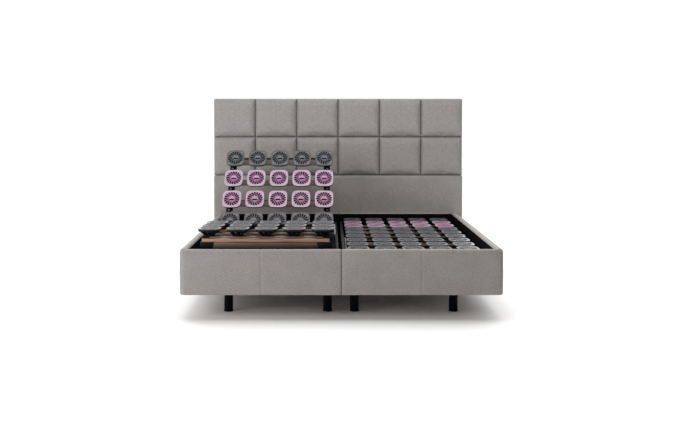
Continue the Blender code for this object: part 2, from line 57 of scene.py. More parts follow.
# ---- sizes shared with the frame ---------------------------------------------------------
ROW_PITCH = 0.20
FIRST_ROW = 0.10  # from a section's hinge to its first row
ROW_LIFT = 0.030  # disc tops over the hinge axis
SECTION_ROWS = {"back": (1, 2, 3, 4), "seat": (5,), "thigh": (6, 7), "calf": (8, 9, 10)}
PINK_ROWS = (2, 3)
KNEE_RATIO = 0.93

DISC_PITCH = 0.161
DISC_HALF = (0.0642, 0.0775)
DISC_THICKNESS = 0.012
DISC_RIM = 0.0065  # the part of it that is the coloured rim
DISC_SUNK = 0.0005  # the slotted plate under the rim's top
RIDGE_CREST = 0.0014  # over the rim's top
SLOTS_IN_DISC = 17
SLOT_LEAN = radians(11)
SLOT_STRETCH = 1.16  # the ring of slots is this much longer than it is wide
SLAT_TOP = -0.047  # under the disc tops
SLAT_SIZE = (0.710, 0.050, 0.010)

COVER_TOP_ROUNDING = 0.015
COVER_BOTTOM_ROUNDING = 0.005
COVER_CORNER = 0.030
COVER_PARTS = (1, 8, 1, 8)  # along its foot, its inner face, its top and its outer face
CORNER_DROP = 0.010  # how far the top sinks at a rounded corner
CORNER_RUN = 0.058  # how far the rounded corners reach along the walls
SEAM_DEPTH = 0.0020
SEAM_WIDTH = 0.0045

SQUARE_COLUMNS = 6
SQUARE_ROUNDING = 0.030
SQUARE_RELIEF = 0.034
SQUARE_SUNK = 0.005  # how far a square starts below its full height, before it is blown up
CLOTH_REACH = 0.010  # the most that the cloth moves
CLOTH_FRAMES = 16
CLOTH_SETTINGS = dict(
    quality=6, mass=0.25, tension_stiffness=12, compression_stiffness=8, shear_stiffness=4,
    bending_stiffness=4.0, use_pressure=True, uniform_pressure_force=3.0, shrink_min=-0.010,
    vertex_group_mass="sewn",
)
DOME_POWER = 2.3  # 2 would be a round edge
OUTER_CORNER = 0.014  # radius of the headboard's two top corners


# ---- materials ---------------------------------------------------------------------------
class Nodes:
    """A small helper that adds and joins shader nodes."""

    def __init__(self, name):
        self.material = bpy.data.materials.new(name)
        self.material.use_nodes = True
        self.tree = self.material.node_tree
        self.shader = self.tree.nodes["Principled BSDF"]
        self.place = self.add("ShaderNodeTexCoord").outputs["Object"]

    def add(self, kind, **settings):
        node = self.tree.nodes.new(kind)
        for key, value in settings.items():
            setattr(node, key, value)
        return node

    def join(self, output, node, name):
        self.tree.links.new(output, node.inputs[name])

    def split(self, axis):
        """One coordinate of the place on the piece."""
        node = self.add("ShaderNodeSeparateXYZ")
        self.join(self.place, node, "Vector")
        return node.outputs[axis]

    def stretched(self, scale):
        mapping = self.add("ShaderNodeMapping")
        mapping.inputs["Scale"].default_value = scale
        self.join(self.place, mapping, "Vector")
        return mapping.outputs["Vector"]

    def noise(self, scale, detail=2.0, stretch=(1, 1, 1)):
        node = self.add("ShaderNodeTexNoise")
        node.inputs["Scale"].default_value = scale
        node.inputs["Detail"].default_value = detail
        self.join(self.stretched(stretch), node, "Vector")
        return node.outputs["Fac"]

    def ramp(self, value, *stops):
        """Maps a value to colours, with each stop as (position, colour)."""
        node = self.add("ShaderNodeValToRGB")
        elements = node.color_ramp.elements
        while len(elements) < len(stops):
            elements.new(0.5)
        for element, (position, colour) in zip(elements, stops):
            element.position = position
            element.color = (*colour, 1.0)
        self.join(value, node, "Fac")
        return node.outputs["Color"]

    def grade(self, value, low, high):
        """Maps a value from 0.3-0.7, where noise mostly lies, to low-high."""
        node = self.add("ShaderNodeMapRange")
        settings = {"From Min": 0.3, "From Max": 0.7, "To Min": low, "To Max": high}
        for key, number in settings.items():
            node.inputs[key].default_value = number
        self.join(value, node, "Value")
        return node.outputs["Result"]

    def math(self, operation, a, b=0.0):
        node = self.add("ShaderNodeMath", operation=operation)
        for index, value in enumerate((a, b)):
            if isinstance(value, (int, float)):
                node.inputs[index].default_value = value
            else:
                self.tree.links.new(value, node.inputs[index])
        return node.outputs["Value"]

    def multiply(self, colour, factor):
        node = self.add("ShaderNodeMix", data_type="RGBA", blend_type="MULTIPLY")
        node.inputs["Factor"].default_value = 1.0
        self.join(colour, node, "A")
        self.join(factor, node, "B")
        return node.outputs["Result"]

    def bump(self, height, distance, strength):
        node = self.add("ShaderNodeBump")
        node.inputs["Distance"].default_value = distance
        node.inputs["Strength"].default_value = strength
        self.join(height, node, "Height")
        self.join(node.outputs["Normal"], self.shader, "Normal")

    def finish(self, colour, roughness, **constants):
        self.join(colour, self.shader, "Base Color")
        self.join(roughness, self.shader, "Roughness")
        for name, value in constants.items():
            self.shader.inputs[name.replace("_", " ")].default_value = value
        return self.material


def shade(colour, factor):
    return tuple(channel * factor for channel in colour)


def woven_fabric(name, colour):
    """A flat-woven melange: crossing yarns, slubs and soft uneven dye."""
    nodes = Nodes(name)
    melange = nodes.noise(900.0, 2.0)
    slub_flat = nodes.noise(60.0, 3.0, (1.0, 1.0, 9.0))
    slub_tall = nodes.noise(60.0, 3.0, (9.0, 9.0, 1.0))
    cloud = nodes.noise(9.0, 3.0)
    mottle = nodes.noise(130.0, 2.0)
    yarn = nodes.ramp(
        melange, (0.32, shade(colour, 0.78)), (0.5, colour), (0.68, shade(colour, 1.20))
    )
    across, along = nodes.grade(slub_flat, 0.91, 1.09), nodes.grade(slub_tall, 0.91, 1.09)
    uneven = nodes.math("MULTIPLY", nodes.grade(mottle, 0.90, 1.10), nodes.grade(cloud, 0.95, 1.05))
    tone = nodes.math("MULTIPLY", nodes.math("MULTIPLY", across, along), uneven)
    weave = nodes.add("ShaderNodeTexVoronoi", distance="CHEBYCHEV")
    weave.inputs["Scale"].default_value = 620.0
    weave.inputs["Randomness"].default_value = 0.35
    nodes.join(nodes.place, weave, "Vector")
    thread = nodes.math("MULTIPLY", weave.outputs["Distance"], -1.0)
    height = nodes.math("ADD", thread, nodes.grade(slub_flat, 0.0, 0.25))
    nodes.bump(height, 0.0006, 0.55)
    roughness = nodes.grade(melange, 0.88, 0.98)
    return nodes.finish(nodes.multiply(yarn, tone), roughness, Sheen_Weight=0.10,
                        Sheen_Roughness=0.5, Specular_IOR_Level=0.15)


def moulded(name, colour, roughness, wear, grain=1400.0, metallic=0.0, gloss=0.30):
    """Moulded plastic or painted steel: a fine texture and slightly uneven colour."""
    nodes = Nodes(name)
    broad = nodes.noise(14.0, 3.0)
    fine = nodes.noise(grain, 2.0)
    tone = nodes.ramp(broad, (0.35, shade(colour, 1 - wear)), (0.65, shade(colour, 1 + wear)))
    speck = nodes.grade(fine, 0.94, 1.06)
    nodes.bump(fine, 0.00015, 0.8)
    finish = nodes.grade(nodes.noise(45.0, 3.0), roughness - 0.07, roughness + 0.07)
    return nodes.finish(
        nodes.multiply(tone, speck), finish, Metallic=metallic, Specular_IOR_Level=gloss
    )


def disc_plastic_with_painted_light(name, centre, rim, gloss):
    """Moulded plastic with painted light: its slotted middle and its rim get different colours, the
    pink rim paler as a painted highlight and the grey rim darker as painted shade.
    """
    nodes = Nodes(name)
    along = nodes.math("ADD", nodes.split("X"), DISC_PITCH / 2)
    along = nodes.math("SUBTRACT", nodes.math("FLOORED_MODULO", along, DISC_PITCH), DISC_PITCH / 2)
    along = nodes.math("ABSOLUTE", nodes.math("DIVIDE", along, DISC_HALF[0]))
    up = nodes.math("ABSOLUTE", nodes.math("DIVIDE", nodes.split("Y"), DISC_HALF[1]))
    distance = nodes.math("MAXIMUM", along, up)
    # painted light: the rim colour differs from the centre colour as a painted highlight on pink and
    # painted shade on grey
    tone = nodes.ramp(distance, (0.70, centre), (0.88, rim))
    fine = nodes.noise(1400.0, 2.0)
    nodes.bump(fine, 0.00015, 0.8)
    finish = nodes.grade(nodes.noise(45.0, 3.0), 0.34, 0.48)
    uneven = nodes.grade(nodes.noise(14.0, 3.0), 0.92, 1.08)
    return nodes.finish(nodes.multiply(tone, uneven), finish, Specular_IOR_Level=gloss)


def wood(name, colour, layers=True, painted_top_shade=None):
    """Glued beech: long grain along X, its layers on the edges, and painted shade that darkens a slat's
    top face.
    """
    nodes = Nodes(name)
    grain = nodes.noise(120.0, 6.0, (0.05, 1.0, 1.6))
    broad = nodes.noise(7.0, 2.0, (0.3, 1.0, 1.0))
    fibre = nodes.ramp(
        grain, (0.3, shade(colour, 0.62)), (0.5, colour), (0.7, shade(colour, 1.25))
    )
    tone = nodes.grade(broad, 0.86, 1.12)
    if layers:
        bands = nodes.add("ShaderNodeTexWave", bands_direction="Z")
        bands.inputs["Scale"].default_value = 95.0
        bands.inputs["Distortion"].default_value = 0.6
        nodes.join(nodes.place, bands, "Vector")
        tone = nodes.math("MULTIPLY", tone, nodes.grade(bands.outputs["Fac"], 0.92, 1.04))
    nodes.bump(grain, 0.0003, 0.6)
    bare, finish = nodes.multiply(fibre, tone), nodes.grade(grain, 0.42, 0.60)
    if not painted_top_shade:
        return nodes.finish(bare, finish)
    # painted shade: the slat's top face is blended to a darker colour that stands for the shade it lies
    # in
    top_shade_mask = nodes.add("ShaderNodeMapRange")
    top_shade_mask.inputs["From Min"].default_value = SLAT_TOP - 0.0022
    top_shade_mask.inputs["From Max"].default_value = SLAT_TOP - 0.0012
    nodes.join(nodes.split("Z"), top_shade_mask, "Value")
    mixed = nodes.add("ShaderNodeMix", data_type="RGBA")
    mixed.inputs["B"].default_value = (*painted_top_shade, 1.0)
    nodes.join(top_shade_mask.outputs["Result"], mixed, "Factor")
    nodes.join(bare, mixed, "A")
    return nodes.finish(mixed.outputs["Result"], finish, Specular_IOR_Level=0.15)


def felt(name, colour):
    """Lining felt with pale specks. Its near-black colour is partly a dark felt and partly painted
    shade of the box's inside.
    """
    nodes = Nodes(name)
    fibre = nodes.noise(700.0, 4.0)
    fleck = nodes.noise(260.0, 2.0)
    tone = nodes.ramp(fleck, (0.50, colour), (0.66, shade(colour, 3.2)))
    nodes.bump(fibre, 0.0008, 0.8)
    uneven = nodes.multiply(tone, nodes.grade(fibre, 0.8, 1.2))
    return nodes.finish(uneven, nodes.grade(fibre, 0.9, 1.0), Specular_IOR_Level=0.03)


def floor_paint():
    nodes = Nodes("floor_paint")
    broad = nodes.noise(2.0, 2.0)
    tone = nodes.ramp(broad, (0.3, (0.93, 0.93, 0.93)), (0.7, (0.95, 0.95, 0.95)))
    return nodes.finish(tone, nodes.grade(broad, 0.85, 0.95))


MATERIALS = {
    "fabric": woven_fabric("warm_grey_weave", (0.285, 0.266, 0.254)),
    # near-black partly as a dark felt and partly as painted shade of the box's inside
    "lining": felt("lining_felt_with_painted_shade", (0.0026, 0.0022, 0.0024)),
    "board": moulded("dark_board", (0.016, 0.015, 0.015), 0.75, 0.15, 500.0, 0.0, 0.15),
    "wood": wood("glued_beech", (0.340, 0.205, 0.138)),
    # painted shade: a darker copy of the beech, for the strip under the calf section's wooden bar
    "shade_painted_wood": wood("shaded_beech", (0.150, 0.080, 0.050), layers=False),
    # the slat's top face gets painted shade, a darker brown
    "slat": wood("slat_with_painted_top_shade", (0.330, 0.205, 0.140), painted_top_shade=(0.150, 0.106, 0.088)),
    "plywood": wood("frame_wood", (0.34, 0.270, 0.215), layers=False),
    "hardboard": moulded("hardboard", (0.20, 0.17, 0.155), 0.60, 0.12, 500.0),
    # the disc colours hold painted light: centre and rim differ as painted highlight and painted shade
    "grey": disc_plastic_with_painted_light("grey_plastic", (0.130, 0.133, 0.146), (0.070, 0.072, 0.078), 0.50),
    "pink": disc_plastic_with_painted_light("pink_plastic", (0.470, 0.240, 0.400), (0.440, 0.355, 0.410), 0.40),
    "black": moulded("black_plastic", (0.006, 0.0055, 0.0065), 0.55, 0.20, gloss=0.12),
    "steel": moulded("powder_coated_steel", (0.010, 0.0095, 0.0105), 0.50, 0.15, 900.0, gloss=0.20),
    "leg": moulded("satin_black_leg", (0.0030, 0.0027, 0.0030), 0.60, 0.15, gloss=0.06),
    # on the edge strips this pale is a painted highlight
    "pale": moulded("pale_plastic", (0.28, 0.27, 0.265), 0.50, 0.05),
    "trim": moulded("grey_violet_trim", (0.070, 0.055, 0.060), 0.50, 0.10, gloss=0.2),
    "zinc": moulded("zinc_plated", (0.30, 0.30, 0.31), 0.40, 0.10, 900.0, 0.9),
}


# ---- making pieces -----------------------------------------------------------------------
def new_object(name, data):
    obj = bpy.data.objects.new(name, data)
    bpy.context.scene.collection.objects.link(obj)
    return obj


def tidy_mesh(shape, name, smooth_angle):
    """A closed mesh with its faces pointing out, smooth except at sharp edges."""
    bmesh.ops.recalc_face_normals(shape, faces=shape.faces)
    mesh = bpy.data.meshes.new(name)
    shape.to_mesh(mesh)
    shape.free()
    mesh.shade_smooth()
    mesh.set_sharp_from_angle(angle=radians(smooth_angle))
    return mesh


def skin(shape, rings):
    """Joins closed rings of points with quads, and closes the two ends."""
    loops = [[shape.verts.new(point) for point in ring] for ring in rings]
    for first, second in zip(loops, loops[1:]):
        count = len(first)
        for i in range(count):
            j = (i + 1) % count
            shape.faces.new((first[i], first[j], second[j], second[i]))
    shape.faces.new(loops[0][::-1])
    shape.faces.new(loops[-1])


def rounded_rectangle(low, high, radii, steps, parts=(1, 1, 1, 1)):
    """Points round a rectangle with a radius for each corner, from the low corner on.
    Each straight side, from the low one on, is cut into its number of parts."""
    corners = [
        ((low[0], low[1]), (1, 1), pi),
        ((high[0], low[1]), (-1, 1), 1.5 * pi),
        ((high[0], high[1]), (-1, -1), 0.0),
        ((low[0], high[1]), (1, -1), 0.5 * pi),
    ]
    arcs = []
    for ((x, y), (inward_x, inward_y), start), radius in zip(corners, radii):
        centre = (x + inward_x * radius, y + inward_y * radius)
        angles = [start + 0.5 * pi * step / steps for step in range(steps + 1)]
        arcs.append([(centre[0] + radius * cos(a), centre[1] + radius * sin(a)) for a in angles])
    points = []
    for arc, following, count in zip(arcs, arcs[1:] + arcs[:1], parts):
        points += arc
        (x, y), (next_x, next_y) = arc[-1], following[0]
        points += [
            (x + (next_x - x) * i / count, y + (next_y - y) * i / count) for i in range(1, count)
        ]
    return points


def add_box(shape, low, high, rounding, segments=2):
    """A box with rounded edges, as part of a larger mesh."""
    low, high = Vector(low), Vector(high)
    made = bmesh.ops.create_cube(shape, size=1)["verts"]
    bmesh.ops.transform(shape, verts=made, matrix=Matrix.Diagonal((*(high - low), 1)))
    bmesh.ops.translate(shape, verts=made, vec=(low + high) / 2)
    edges = dict.fromkeys(edge for vert in made for edge in vert.link_edges)  # in a fixed order
    bmesh.ops.bevel(
        shape, geom=list(edges), offset=rounding, segments=segments, affect="EDGES", profile=0.5
    )


def add_side_box(shape, side, along_x, along_y, along_z, rounding, segments=2):
    """A box on one side of the middle, from its nearest and furthest reach to that side."""
    near, far = sorted((side * along_x[0], side * along_x[1]))
    low, high = zip((near, far), along_y, along_z)
    add_box(shape, low, high, rounding, segments)


def add_turned(shape, profile, matrix, sides):
    """A turned body from (radius, height) pairs, bottom to top, closed at both ends."""
    turns = [2 * pi * i / sides for i in range(sides)]
    skin(shape, [
        [matrix @ Vector((radius * cos(turn), radius * sin(turn), height)) for turn in turns]
        for radius, height in profile
    ])


def piece(name, mesh, material, body="root", nodes=(), matrix=None):
    """A finished piece: its material, the body it rides on and what it stands for."""
    obj = new_object(name, mesh)
    if not mesh.materials:
        mesh.materials.append(MATERIALS[material])
    if matrix is not None:
        obj.matrix_world = matrix
    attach(obj, body)
    if nodes:
        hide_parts(*nodes)
    return obj


def add_plate(shape, outer, holes, bottom, top, bevel=0.0006):
    """A flat plate with holes and eased edges, between two heights, as part of a larger mesh."""
    curve = bpy.data.curves.new("plate", "CURVE")
    curve.dimensions = "2D"
    curve.fill_mode = "BOTH"
    for loop in (outer, *holes):
        spline = curve.splines.new("POLY")
        spline.points.add(len(loop) - 1)
        for point, (x, y) in zip(spline.points, loop):
            point.co = (x, y, 0, 1)
        spline.use_cyclic_u = True
    curve.bevel_depth = bevel
    curve.bevel_resolution = 0
    curve.offset = -bevel
    curve.extrude = (top - bottom) / 2 - bevel
    drawn = new_object("plate", curve)
    bpy.context.view_layer.update()
    graph = bpy.context.evaluated_depsgraph_get()
    mesh = bpy.data.meshes.new_from_object(drawn.evaluated_get(graph))
    bpy.data.objects.remove(drawn)
    mesh.transform(Matrix.Translation((0, 0, (bottom + top) / 2)))
    welded = bmesh.new()
    welded.from_mesh(mesh)
    bmesh.ops.remove_doubles(welded, verts=welded.verts, dist=0.000001)
    welded.to_mesh(mesh)
    welded.free()
    shape.from_mesh(mesh)
    bpy.data.meshes.remove(mesh)


# ---- the upholstered boxes ---------------------------------------------------------------
def wall_path(prefix):
    """Where one box's walls run: the inner end, the outer face, and the front and back faces."""
    low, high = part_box(f"{prefix}_front_panel")
    inner, outer = sorted((abs(low.x), abs(high.x)))
    return dict(
        side=SIDES[prefix], inner=inner, outer=outer, wall=high.y - low.y, front=low.y,
        back=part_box(f"{prefix}_back_panel")[1].y, bottom=low.z, top=high.z,
    )


def run_points(start, end, seams):
    """Stations along a straight wall, close together at the seams."""
    spacing = 0.045
    length = abs(end - start)
    direction = 1 if end > start else -1
    near = (0.0, 0.0022, 0.0045, 0.009, 0.020)
    marks = {0.0, length}
    for seam in seams:
        for step in near:
            marks |= {abs(seam - start) - step, abs(seam - start) + step}
    count = int(length / spacing)
    for i in range(1, count):
        mark = length * i / count
        if all(abs(mark - other) > spacing / 3 for other in marks):
            marks.add(mark)
    return [start + direction * mark for mark in sorted(marks)]


def plan_point(path, station, depth):
    """A point of the wall at some depth under its outer face, for one station of the run."""
    part, value = station
    outer, front, back = path["outer"], path["front"], path["back"]
    if part == "front":
        return Vector((value, front + depth))
    if part == "back":
        return Vector((value, back - depth))
    if part == "side":
        return Vector((outer - depth, value))
    radius = max(COVER_CORNER - depth, 0.0015)
    centre = outer - depth - radius
    angle, y = value * pi / 2, back - depth - radius
    if part == "front_corner":
        angle, y = angle - pi / 2, front + depth + radius
    return Vector((centre + radius * cos(angle), y + radius * sin(angle)))


def wall_stations(path, seams_front, seams_side):
    """Stations from the inner end of the front wall, round the outside, to the back wall."""
    arc = [i / 6 for i in range(7)]
    inner, outer = path["inner"], path["outer"] - CORNER_RUN
    front, back = path["front"] + CORNER_RUN, path["back"] - CORNER_RUN
    stations = [("front", x) for x in run_points(inner, outer, seams_front)]
    stations += [("front_corner", t) for t in arc]
    stations += [("side", y) for y in run_points(front, back, seams_side)]
    stations += [("back_corner", t) for t in arc]
    stations += [("back", x) for x in run_points(outer, inner, seams_front)]
    return stations


def seam_dip(station, seams_front, seams_side):
    """How deep the seams pull the cover in at a station."""
    part, value = station
    seams = {"front": seams_front, "back": seams_front, "side": seams_side}.get(part, ())
    return sum(SEAM_DEPTH * exp(-(((value - seam) / SEAM_WIDTH) ** 2)) for seam in seams)


def cover_mesh(path, seams_front, seams_side):
    """The upholstery of one box's three walls, in one piece round the corners."""
    shape = bmesh.new()
    stations = wall_stations(path, seams_front, seams_side)
    wall, bottom, top = path["wall"], path["bottom"], path["top"]
    radii = (COVER_BOTTOM_ROUNDING, COVER_BOTTOM_ROUNDING, COVER_TOP_ROUNDING, COVER_TOP_ROUNDING)
    ends = ((0.0060, 0.0), (0.0026, 0.0012), (0.0008, 0.0034), (0.0, 0.0070))
    first, last = stations[0], stations[-1]
    framed = [(inset, (first[0], first[1] + shift)) for inset, shift in ends]
    framed += [(0.0, station) for station in stations[1:-1]]
    framed += [(inset, (last[0], last[1] + shift)) for inset, shift in reversed(ends)]
    rings = []
    for inset, station in framed:
        dip = seam_dip(station, seams_front, seams_side)
        low, high = (inset, bottom + inset), (wall - inset, top - inset)
        outline = rounded_rectangle(low, high, radii, 4, COVER_PARTS)
        ring = []
        for depth, z in outline:
            rise = (z - bottom) / (top - bottom)
            outside = max(0.0, 1 - depth / (0.4 * wall))
            place = plan_point(path, station, depth)
            swell = 0.0011 * noise.noise(Vector((place.x * 7, place.y * 7, z * 11)))
            puff = outside * (0.0022 * sin(pi * rise) - 0.0012 + swell)
            moved = plan_point(path, station, depth + outside * dip - puff)
            lift = dip if z > top - 0.004 and depth > 0.3 * wall else 0.0
            if station[0].endswith("corner"):
                lift += 2 * CORNER_DROP * sin(pi * station[1]) * max(0.0, (rise - 0.85) / 0.15)
            ring.append(Vector((path["side"] * moved.x, moved.y, z - 0.5 * lift)))
        rings.append(ring)
    skin(shape, rings)
    return tidy_mesh(shape, "cover", 50.0)


def lining_mesh(path):
    """A thin felt-covered board on the inner faces of the three walls."""
    shape = bmesh.new()
    wall, top = path["wall"], path["top"]
    thickness, drop, foot = 0.0025, 0.010, 0.024
    low, high = (wall + 0.0004, path["bottom"] + foot), (wall + thickness, top - drop)
    outline = rounded_rectangle(low, high, (0.0005, 0.0005, 0.001, 0.001), 2)
    rings = []
    for station in wall_stations(path, (), ()):
        places = [(plan_point(path, station, depth), z) for depth, z in outline]
        rings.append([Vector((path["side"] * place.x, place.y, z)) for place, z in places])
    skin(shape, rings)
    bmesh.ops.remove_doubles(shape, verts=shape.verts, dist=0.00001)
    return tidy_mesh(shape, "lining", 40.0)


def add_tacks(shape, places, normal, radius=0.004):
    """Round-headed fixings at some places, facing along a normal."""
    turn = Vector((0, 0, 1)).rotation_difference(Vector(normal)).to_matrix().to_4x4()
    profile = [(radius, 0.0), (radius, 0.0008), (radius * 0.8, 0.0017), (radius * 0.35, 0.0022)]
    for place in places:
        add_turned(shape, profile, Matrix.Translation(place) @ turn, 12)


def make_box(prefix):
    """One upholstered box: its cover, its lining, the board inside and the floor boards."""
    path = wall_path(prefix)
    middle = (path["inner"] + path["outer"]) / 2
    seams_front = (middle - 0.004,)
    seams_side = (-0.42, 0.30)
    cover = piece(
        f"{prefix}_box_cover", cover_mesh(path, seams_front, seams_side), "fabric",
        nodes=(f"{prefix}_front_panel", f"{prefix}_side_panel", f"{prefix}_back_panel"),
    )
    piece(f"{prefix}_lining", lining_mesh(path), "lining")
    make_inner_board(prefix)
    make_floor_boards(prefix)


def make_inner_board(prefix):
    """The plain board towards the other box, with eased edges and a row of screw caps."""
    low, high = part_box(f"{prefix}_inner_board")
    shape = bmesh.new()
    clear = Vector((0, 0.0032, 0))  # room for the lining on the end walls
    add_box(shape, low + clear, high - clear, 0.0015)
    side = SIDES[prefix]
    face = high.x if side > 0 else low.x
    count = 6
    for level in (low.z + 0.035, high.z - 0.035):
        places = [
            Vector((face, low.y + (high.y - low.y) * (i + 0.5) / count, level)) for i in range(count)
        ]
        add_tacks(shape, places, (side, 0, 0))
    board = tidy_mesh(shape, "inner_board", 30.0)
    piece(f"{prefix}_inner_board_edged", board, "board", nodes=(f"{prefix}_inner_board",))


def make_floor_boards(prefix):
    """Thin hardboard that closes the two bays of the bottom frame."""
    low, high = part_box(f"{prefix}_bottom_frame")
    shape = bmesh.new()
    rail, cross_rail = 0.0505, 0.11  # the frame's edge, and half the room its middle rail takes
    under, over = low.z + 0.006, low.z + 0.009
    for front, back in ((low.y + 0.27, -cross_rail), (cross_rail, high.y - 0.21)):
        add_box(shape, (low.x + rail, front, under), (high.x - rail, back, over), 0.0004, 1)
    piece(f"{prefix}_floor_boards", tidy_mesh(shape, "floor_boards", 30.0), "hardboard")


def make_gap_seal():
    """A strip of the lining felt low down between the two inner boards. Its near-black colour is partly
    a dark felt and partly painted shade.
    """
    low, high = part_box("left_inner_board")
    shape = bmesh.new()
    reach = -high.x - 0.0004
    add_box(shape, (-reach, low.y, low.z), (reach, high.y, low.z + 0.012), 0.002)
    piece("gap_seal", tidy_mesh(shape, "gap_seal", 30.0), "lining")


def make_legs():
    """Turned legs with a mounting plate edge on top and a soft glide below."""
    radius, flange = 0.025, 0.0262
    for prefix, end, row in product(SIDES, ("front", "back"), ("inner", "outer")):
        node = f"{prefix}_{end}_{row}_leg"
        low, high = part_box(node)
        middle = (low + high) / 2
        shape = bmesh.new()
        profile = [
            (0.0225, 0.0), (flange, 0.0012), (0.0268, 0.004), (flange, 0.0078),
            (0.0242, 0.0090), (0.0240, 0.0102), (radius, 0.0112), (radius, 0.060),
            (radius, high.z - 0.0062), (flange, high.z - 0.0052),
            (flange, high.z - 0.0006), (0.0258, high.z),
        ]
        add_turned(shape, profile, Matrix.Translation((middle.x, middle.y, 0)), 40)
        piece(f"{node}_turned", tidy_mesh(shape, "leg", 40.0), "leg", nodes=(node,))


# ---- the headboard -----------------------------------------------------------------------
def eased(step):
    """Spreads even steps so that they lie closer together at both ends."""
    crowding = 0.72
    return (1 - crowding) * step + crowding * (0.5 - 0.5 * cos(pi * step))


def dome(distance):
    """Height of a square's rounded edge, 0 at the seam and 1 on the plateau."""
    reach = min(distance / SQUARE_ROUNDING, 1.0)
    return (1 - (1 - reach) ** DOME_POWER) ** (1 / DOME_POWER)


def rounded_corner(x, z, low, high, side):
    """Moves a point of a tile's grid so that its top corner on one side is rounded."""
    radius = OUTER_CORNER
    edge = high.x if side > 0 else low.x
    u = 1 - abs(edge - x) / radius
    v = 1 - (high.z - z) / radius
    if not side or u <= 0 or v <= 0:
        return x, z
    x = edge - side * radius * (1 - u * (1 - v * v / 2) ** 0.5)
    return x, high.z - radius * (1 - v * (1 - u * u / 2) ** 0.5)


def tile_shell(low, high, seed, side):
    """A closed pad whose front face, towards -Y, curves back to its seams."""
    nx, ny, nz = 26, 2, 24
    relief = SQUARE_RELIEF - SQUARE_SUNK
    shape = bmesh.new()
    verts = {}
    seam_y = low.y + relief

    def point(i, j, k):
        if (i, j, k) in verts:
            return verts[i, j, k]
        x = low.x + (high.x - low.x) * eased(i / nx)
        z = low.z + (high.z - low.z) * eased(k / nz)
        edge_x = min(x - low.x, high.x - x)
        edge_z = min(z - low.z, high.z - z)
        y = seam_y + (high.y - seam_y) * (ny - j) / ny
        if j == ny:
            height = dome(edge_x) * dome(edge_z)
            ripple = 0.0005 * noise.noise(Vector((x * 23 + seed, z * 23, seed)))
            y = seam_y - relief * height + height * ripple
        x, z = rounded_corner(x, z, low, high, side)
        verts[i, j, k] = shape.verts.new((x, y, z))
        return verts[i, j, k]

    def sheet(*corners):
        shape.faces.new([point(*corner) for corner in corners])

    for i, k, j in product(range(nx), range(nz), (0, ny)):
        sheet((i, j, k), (i + 1, j, k), (i + 1, j, k + 1), (i, j, k + 1))
    for j in range(ny):
        for i, k in product(range(nx), (0, nz)):
            sheet((i, j, k), (i + 1, j, k), (i + 1, j + 1, k), (i, j + 1, k))
        for k, i in product(range(nz), (0, nx)):
            sheet((i, j, k), (i, j + 1, k), (i, j + 1, k + 1), (i, j, k + 1))
    return tidy_mesh(shape, "tile", 180.0)


def inflate(mesh, seam_y, low, high):
    """Blows the front of a pad up as cloth that is sewn down along its seams."""
    obj = new_object("inflated", mesh)
    held = obj.vertex_groups.new(name=CLOTH_SETTINGS["vertex_group_mass"])
    start = [vert.co.copy() for vert in mesh.vertices]
    margin = 0.004
    for vert in mesh.vertices:
        sewn = vert.co.y > seam_y - 0.001
        edge_x = min(vert.co.x - low.x, high.x - vert.co.x)
        edge_z = min(vert.co.z - low.z, high.z - vert.co.z)
        weight = 1.0 if sewn or min(edge_x, edge_z) < margin else 0.0
        held.add([vert.index], weight, "REPLACE")
    cloth = obj.modifiers.new("cloth", "CLOTH")
    for setting, value in CLOTH_SETTINGS.items():
        setattr(cloth.settings, setting, value)
    cloth.settings.effector_weights.gravity = 0.0
    cloth.point_cache.frame_start = 1
    cloth.point_cache.frame_end = CLOTH_FRAMES
    scene = bpy.context.scene
    for number in range(1, CLOTH_FRAMES + 1):
        scene.frame_set(number)
    graph = bpy.context.evaluated_depsgraph_get()
    blown = [vert.co.copy() for vert in obj.evaluated_get(graph).data.vertices]
    bpy.data.objects.remove(obj)
    scene.frame_set(1)
    for vert, before, after in zip(mesh.vertices, start, blown):
        move = after - before
        if move.length > CLOTH_REACH:
            move = move * (CLOTH_REACH / move.length)
        place = before + move
        place.x = min(max(place.x, low.x), high.x)
        place.z = min(max(place.z, low.z), high.z)
        vert.co = place
    return mesh


def subdivided(mesh):
    """The mesh with each face split in four and smoothed."""
    obj = new_object("subdivided", mesh)
    obj.modifiers.new("surface", "SUBSURF").levels = 1
    graph = bpy.context.evaluated_depsgraph_get()
    bpy.context.view_layer.update()
    result = bpy.data.meshes.new_from_object(obj.evaluated_get(graph))
    bpy.data.objects.remove(obj)
    result.shade_smooth()
    return result


def make_squares():
    """Two rows of six padded squares, sewn down all round."""
    low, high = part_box("headboard_squares_pad")
    width = (high.x - low.x) / SQUARE_COLUMNS
    height = (high.z - low.z) / 2
    joint = 0.0003
    corner = Vector((-width / 2 + joint, low.y + SQUARE_SUNK, -height / 2 + joint))
    opposite = Vector((width / 2 - joint, high.y, height / 2 - joint))
    shapes = []
    for seed, side in ((1.7, 0), (5.3, 0), (9.1, 0), (3.1, -1), (7.7, 1)):
        mesh = tile_shell(corner, opposite, seed, side)
        mesh = inflate(mesh, low.y + SQUARE_RELIEF, corner, opposite)
        shapes.append(subdivided(mesh))
    for row, column in product(range(2), range(SQUARE_COLUMNS)):
        number = row * SQUARE_COLUMNS + column + 1
        shape = shapes[(column + 2 * row) % 3]
        if row == 0 and column in (0, SQUARE_COLUMNS - 1):
            shape = shapes[3 if column == 0 else 4]
        middle = (low.x + width * (column + 0.5), 0, high.z - height * (row + 0.5))
        tile = piece(
            f"headboard_square_{number:02d}", shape, "fabric",
            nodes=("headboard_squares_pad",), matrix=Matrix.Translation(middle),
        )


